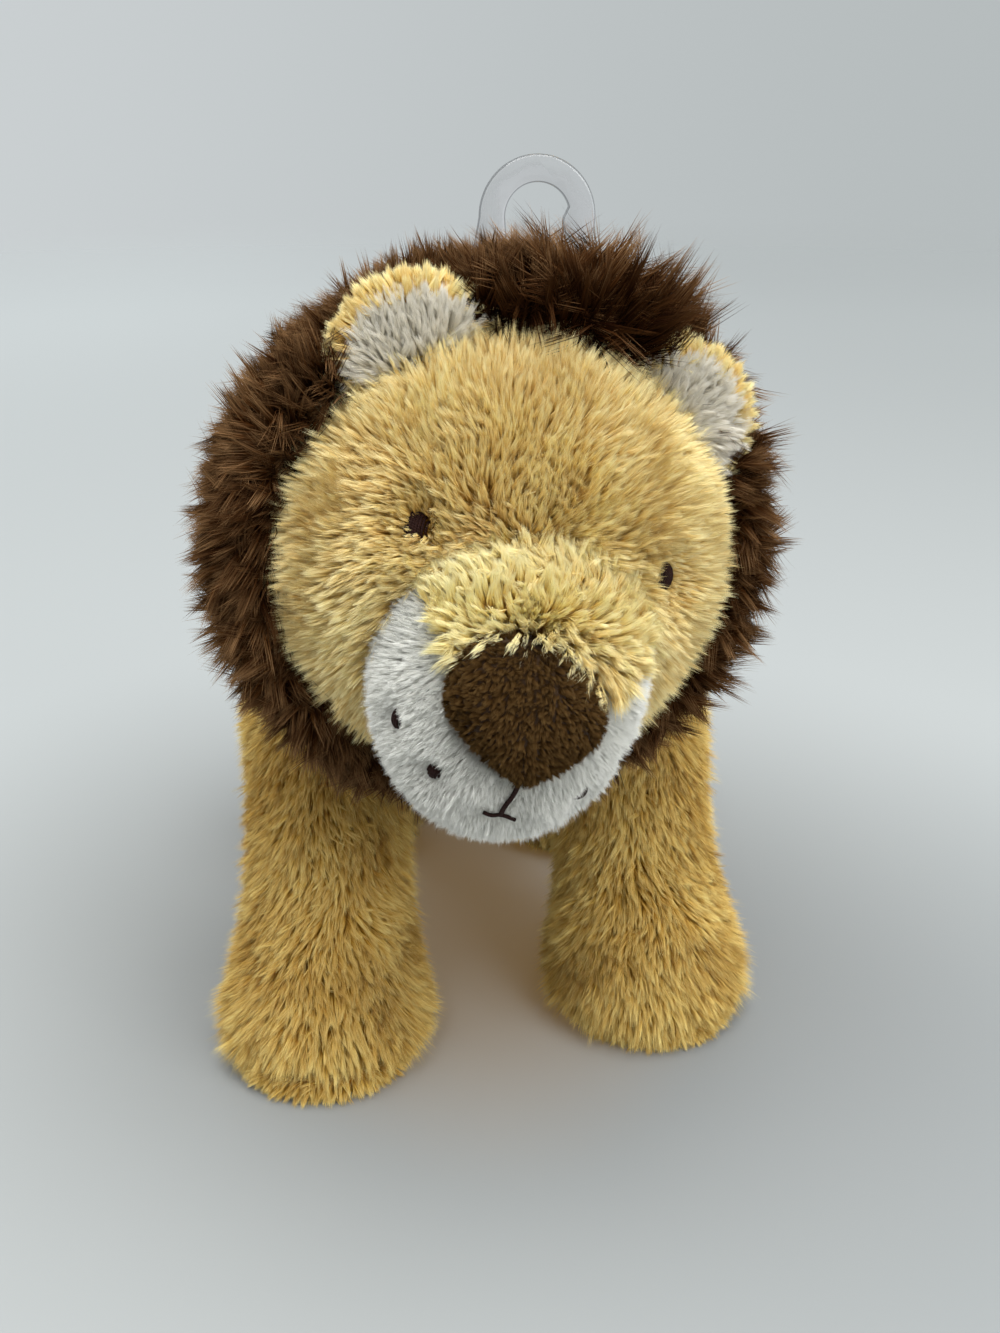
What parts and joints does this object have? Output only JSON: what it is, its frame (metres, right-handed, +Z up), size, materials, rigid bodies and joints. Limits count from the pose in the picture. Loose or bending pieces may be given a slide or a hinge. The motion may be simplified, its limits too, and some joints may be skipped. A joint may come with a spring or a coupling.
{
  "type": "plush lion",
  "caption": "Stuffed plush lion that stands on four stubby legs, with a shaggy mane, a padded nose, a tufted tail and a clear hang hook behind its head.",
  "frame": {"origin": "on the floor, under the middle of the lion's bounding box", "axes": "+Z up, the lion faces -Y, and +X is on the right of someone who faces it"},
  "size_m": [0.164, 0.2946, 0.2738],
  "materials": {
    "yellow_plush": "golden-yellow plush, medium pile in small clumps with darker partings",
    "brown_plush": "dark chocolate-brown faux fur, long pile in locks with paler tips",
    "white_plush": "white plush, short soft pile",
    "nose_fleece": "brown fleece with a very short curly nap",
    "fibre_filling": "white polyester fibre wadding",
    "dark_thread": "dark brown embroidery thread with a slight sheen",
    "clear_plastic": "clear moulded plastic, glossy, with bright cut edges"
  },
  "bodies": {
    "body": {"body_cover": "yellow_plush", "belly_panel": "white_plush", "body_filling": "fibre_filling"},
    "head": {"head_filling": "fibre_filling", "face_cover": "yellow_plush", "mane": "brown_plush", "muzzle_bridge": "yellow_plush", "muzzle_left": "white_plush", "muzzle_right": "white_plush", "nose": "nose_fleece", "mouth_stitch": "dark_thread", "eye_left": "dark_thread", "eye_right": "dark_thread", "whisker_mark_upper_left": "dark_thread", "whisker_mark_lower_left": "dark_thread", "whisker_mark_upper_right": "dark_thread", "whisker_mark_lower_right": "dark_thread", "hook_pin": "clear_plastic"},
    "ear_left": {"ear_outer_left": "yellow_plush", "ear_inner_left": "white_plush"},
    "ear_right": {"ear_outer_right": "yellow_plush", "ear_inner_right": "white_plush"},
    "hook": {"hang_hook": "clear_plastic"},
    "front_left_leg": {"front_left_leg_cover": "yellow_plush", "front_left_leg_filling": "fibre_filling", "front_left_sole": "yellow_plush"},
    "front_right_leg": {"front_right_leg_cover": "yellow_plush", "front_right_leg_filling": "fibre_filling", "front_right_sole": "yellow_plush"},
    "hind_left_leg": {"hind_left_leg_cover": "yellow_plush", "hind_left_leg_filling": "fibre_filling", "hind_left_sole": "yellow_plush"},
    "hind_right_leg": {"hind_right_leg_cover": "yellow_plush", "hind_right_leg_filling": "fibre_filling", "hind_right_sole": "yellow_plush"},
    "tail": {"tail": "yellow_plush", "tail_tuft": "brown_plush"}
  },
  "joints": [
    {"name": "neck_twist", "type": "hinge", "parent": "body", "child": "head", "pos_m": [-0.0009, -0.06074, 0.1755], "axis": [0, 0.829, -0.5592], "range_deg": [-15, 15], "stiffness_Nm_per_rad": 0.5},
    {"name": "ear_left_flex", "type": "hinge", "parent": "head", "child": "ear_left", "pos_m": [-0.0214, -0.0786, 0.22707], "axis": [0.9176, 0.0747, 0.3905], "range_deg": [-20, 20], "stiffness_Nm_per_rad": 0.03},
    {"name": "ear_right_flex", "type": "hinge", "parent": "head", "child": "ear_right", "pos_m": [0.04555, -0.07152, 0.20905], "axis": [0.5964, 0.0854, -0.7982], "range_deg": [-20, 20], "stiffness_Nm_per_rad": 0.03},
    {"name": "hook_swing", "type": "hinge", "parent": "head", "child": "hook", "pos_m": [0.0031, 0.00545, 0.215], "axis": [0, 1, 0], "range_deg": [-20, 20]},
    {"name": "front_left_leg_swing", "type": "hinge", "parent": "body", "child": "front_left_leg", "pos_m": [-0.0499, -0.00974, 0.101], "axis": [1, 0, 0], "range_deg": [-15, 15], "stiffness_Nm_per_rad": 0.9},
    {"name": "front_right_leg_swing", "type": "hinge", "parent": "body", "child": "front_right_leg", "pos_m": [0.0481, -0.00974, 0.101], "axis": [1, 0, 0], "range_deg": [-15, 15], "stiffness_Nm_per_rad": 0.9},
    {"name": "hind_left_leg_swing", "type": "hinge", "parent": "body", "child": "hind_left_leg", "pos_m": [-0.0499, 0.08226, 0.098], "axis": [1, 0, 0], "range_deg": [-15, 15], "stiffness_Nm_per_rad": 0.9},
    {"name": "hind_right_leg_swing", "type": "hinge", "parent": "body", "child": "hind_right_leg", "pos_m": [0.0481, 0.08226, 0.098], "axis": [1, 0, 0], "range_deg": [-15, 15], "stiffness_Nm_per_rad": 0.9},
    {"name": "tail_lift", "type": "hinge", "parent": "body", "child": "tail", "pos_m": [-0.0009, 0.12136, 0.122], "axis": [1, 0, 0], "range_deg": [-5, 75], "stiffness_Nm_per_rad": 0.02}
  ]
}
